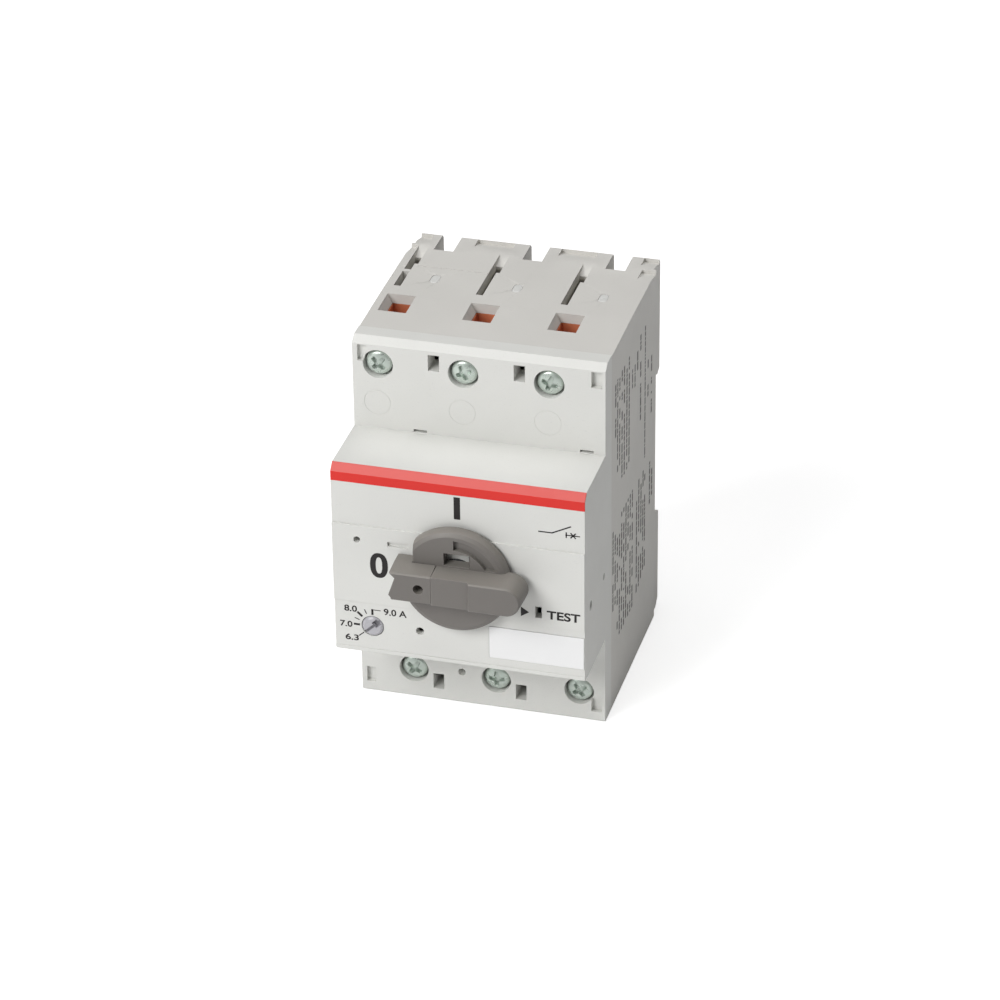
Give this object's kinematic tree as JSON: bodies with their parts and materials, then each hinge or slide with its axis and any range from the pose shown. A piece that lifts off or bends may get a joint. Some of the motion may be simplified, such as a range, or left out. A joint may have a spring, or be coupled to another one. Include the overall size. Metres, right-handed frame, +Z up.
{
  "type": "motor protection circuit breaker",
  "caption": "Three pole motor protection breaker with a rotary on/off handle, current setting dial, clamp terminals at both ends and a spring latch for a 35 mm rail.",
  "frame": {"origin": "centre of the lower end face, under the middle of the bounding box", "axes": "+Z up along the height of the terminal block, +X to the right seen from the front, -Y out of the front with the handle"},
  "size_m": [0.054, 0.0766, 0.086],
  "materials": {
    "cover_plastic": "matte",
    "base_plastic": "matte",
    "red_plastic": "satin",
    "label_white": "matte",
    "handle_grey": "satin",
    "dark_plastic": "matte",
    "green_plastic": "matte",
    "bobbin_plastic": "matte",
    "fibre": "matte",
    "dial_grey": "satin",
    "plated_steel": "satin",
    "steel": "satin",
    "spring_steel": "polished",
    "bronze": "satin",
    "copper": "satin",
    "silver_tip": "satin",
    "bimetal": "satin"
  },
  "bodies": {
    "housing": {"base_housing": "base_plastic", "front_cover": "cover_plastic", "red_band": "red_plastic", "label_plate": "label_white", "shaft_bush": "bronze", "mechanism_frame": "plated_steel", "fixed_tips": "silver_tip", "line_bars": "copper", "mid_bars": "copper", "load_bars": "copper", "splitter_plates": "steel", "arc_cheeks": "fibre", "coil_yokes": "steel", "coil_cores": "steel", "coil_bobbins": "bobbin_plastic", "coil_windings": "copper", "plunger_spring_1": "spring_steel", "plunger_spring_2": "spring_steel", "plunger_spring_3": "spring_steel", "bimetal_strips": "bimetal", "heater_windings": "bimetal", "trip_slide_spring": "spring_steel", "opening_springs": "spring_steel", "din_latch_spring": "spring_steel"},
    "handle": {"handle_knob": "handle_grey", "handle_shaft": "dark_plastic"},
    "lock_slide": {"handle_lock_slide": "handle_grey"},
    "drive": {"drive_slide": "steel"},
    "carrier": {"contact_carrier": "dark_plastic", "moving_bridges": "copper", "moving_tips": "silver_tip", "contact_springs": "spring_steel"},
    "dial": {"current_dial": "dial_grey", "dial_spindle": "plated_steel"},
    "adjuster": {"adjusting_slide": "bimetal"},
    "trip_slide": {"trip_slide": "green_plastic"},
    "trip_bar": {"trip_bar": "steel"},
    "rail_latch": {"din_latch": "base_plastic"},
    "plunger_1": {"plunger_1": "steel"},
    "plunger_2": {"plunger_2": "steel"},
    "plunger_3": {"plunger_3": "steel"},
    "line_screw_1": {"line_screw_1": "plated_steel"},
    "line_clamp_1": {"line_clamp_1": "copper"},
    "line_screw_2": {"line_screw_2": "plated_steel"},
    "line_clamp_2": {"line_clamp_2": "copper"},
    "line_screw_3": {"line_screw_3": "plated_steel"},
    "line_clamp_3": {"line_clamp_3": "copper"},
    "load_screw_1": {"load_screw_1": "plated_steel"},
    "load_clamp_1": {"load_clamp_1": "copper"},
    "load_screw_2": {"load_screw_2": "plated_steel"},
    "load_clamp_2": {"load_clamp_2": "copper"},
    "load_screw_3": {"load_screw_3": "plated_steel"},
    "load_clamp_3": {"load_clamp_3": "copper"}
  },
  "joints": [
    {"name": "handle_turn", "type": "hinge", "parent": "housing", "child": "handle", "pos_m": [0, -0.0297, 0.0428], "axis": [0, 1, 0], "range_deg": [0, 90]},
    {"name": "lock_slide_pull", "type": "slide", "parent": "handle", "child": "lock_slide", "axis": [-1, 0, 0], "range_m": [0, 0.005]},
    {"name": "drive_lift", "type": "slide", "parent": "housing", "child": "drive", "axis": [0, 0, 1], "range_m": [0, 0.00707], "deforming": ["opening_springs"]},
    {"name": "carrier_push", "type": "slide", "parent": "housing", "child": "carrier", "axis": [0, 1, 0], "range_m": [0, 0.0037]},
    {"name": "dial_turn", "type": "hinge", "parent": "housing", "child": "dial", "pos_m": [-0.0188, -0.0297, 0.02755], "axis": [0, 1, 0], "range_deg": [0, 130]},
    {"name": "adjuster_shift", "type": "slide", "parent": "housing", "child": "adjuster", "axis": [1, 0, 0], "range_m": [0, 0.00217]},
    {"name": "trip_slide_move", "type": "slide", "parent": "housing", "child": "trip_slide", "axis": [1, 0, 0], "range_m": [0, 0.002], "stiffness_N_per_m": 60, "springref_m": -0.001, "deforming": ["trip_slide_spring"]},
    {"name": "trip_bar_turn", "type": "hinge", "parent": "housing", "child": "trip_bar", "pos_m": [0, -0.0065, 0.02975], "axis": [1, 0, 0], "range_deg": [-10, 0]},
    {"name": "plunger_1_strike", "type": "slide", "parent": "housing", "child": "plunger_1", "axis": [0, -1, 0], "range_m": [0, 0.002], "stiffness_N_per_m": 60, "springref_m": -0.001, "deforming": ["plunger_spring_1"]},
    {"name": "plunger_2_strike", "type": "slide", "parent": "housing", "child": "plunger_2", "axis": [0, -1, 0], "range_m": [0, 0.002], "stiffness_N_per_m": 60, "springref_m": -0.001, "deforming": ["plunger_spring_2"]},
    {"name": "plunger_3_strike", "type": "slide", "parent": "housing", "child": "plunger_3", "axis": [0, -1, 0], "range_m": [0, 0.002], "stiffness_N_per_m": 60, "springref_m": -0.001, "deforming": ["plunger_spring_3"]},
    {"name": "line_screw_1_turn", "type": "hinge", "parent": "housing", "child": "line_screw_1", "pos_m": [-0.0215, -0.0114, 0.08035], "axis": [0, 1, 0], "range_deg": [0, 1800]},
    {"name": "line_clamp_1_close", "type": "slide", "parent": "housing", "child": "line_clamp_1", "axis": [0, -1, 0], "range_m": [0, 0.0035]},
    {"name": "line_screw_2_turn", "type": "hinge", "parent": "housing", "child": "line_screw_2", "pos_m": [-0.0032, -0.0114, 0.08035], "axis": [0, 1, 0], "range_deg": [0, 1800]},
    {"name": "line_clamp_2_close", "type": "slide", "parent": "housing", "child": "line_clamp_2", "axis": [0, -1, 0], "range_m": [0, 0.0035]},
    {"name": "line_screw_3_turn", "type": "hinge", "parent": "housing", "child": "line_screw_3", "pos_m": [0.0151, -0.0114, 0.08035], "axis": [0, 1, 0], "range_deg": [0, 1800]},
    {"name": "line_clamp_3_close", "type": "slide", "parent": "housing", "child": "line_clamp_3", "axis": [0, -1, 0], "range_m": [0, 0.0035]},
    {"name": "load_screw_1_turn", "type": "hinge", "parent": "housing", "child": "load_screw_1", "pos_m": [-0.0153, -0.0114, 0.00705], "axis": [0, 1, 0], "range_deg": [0, 1800]},
    {"name": "load_clamp_1_close", "type": "slide", "parent": "housing", "child": "load_clamp_1", "axis": [0, -1, 0], "range_m": [0, 0.0035]},
    {"name": "load_screw_2_turn", "type": "hinge", "parent": "housing", "child": "load_screw_2", "pos_m": [0.003, -0.0114, 0.00705], "axis": [0, 1, 0], "range_deg": [0, 1800]},
    {"name": "load_clamp_2_close", "type": "slide", "parent": "housing", "child": "load_clamp_2", "axis": [0, -1, 0], "range_m": [0, 0.0035]},
    {"name": "load_screw_3_turn", "type": "hinge", "parent": "housing", "child": "load_screw_3", "pos_m": [0.0213, -0.0114, 0.00705], "axis": [0, 1, 0], "range_deg": [0, 1800]},
    {"name": "load_clamp_3_close", "type": "slide", "parent": "housing", "child": "load_clamp_3", "axis": [0, -1, 0], "range_m": [0, 0.0035]},
    {"name": "rail_latch_pull", "type": "slide", "parent": "housing", "child": "rail_latch", "axis": [0, 0, -1], "range_m": [0, 0.0035], "stiffness_N_per_m": 400, "springref_m": -0.001, "deforming": ["din_latch_spring"]}
  ],
  "couplings": [
    {"joint": "handle_turn", "follows": "drive_lift", "rad_per_m": 222.15},
    {"joint": "carrier_push", "follows": "drive_lift", "ratio": 0.50833},
    {"joint": "dial_turn", "follows": "adjuster_shift", "rad_per_m": 1043.2},
    {"joint": "trip_bar_turn", "follows": "trip_slide_move", "rad_per_m": -87.266},
    {"joint": "line_screw_1_turn", "follows": "line_clamp_1_close", "rad_per_m": 8975.9},
    {"joint": "line_screw_2_turn", "follows": "line_clamp_2_close", "rad_per_m": 8975.9},
    {"joint": "line_screw_3_turn", "follows": "line_clamp_3_close", "rad_per_m": 8975.9},
    {"joint": "load_screw_1_turn", "follows": "load_clamp_1_close", "rad_per_m": 8975.9},
    {"joint": "load_screw_2_turn", "follows": "load_clamp_2_close", "rad_per_m": 8975.9},
    {"joint": "load_screw_3_turn", "follows": "load_clamp_3_close", "rad_per_m": 8975.9}
  ]
}
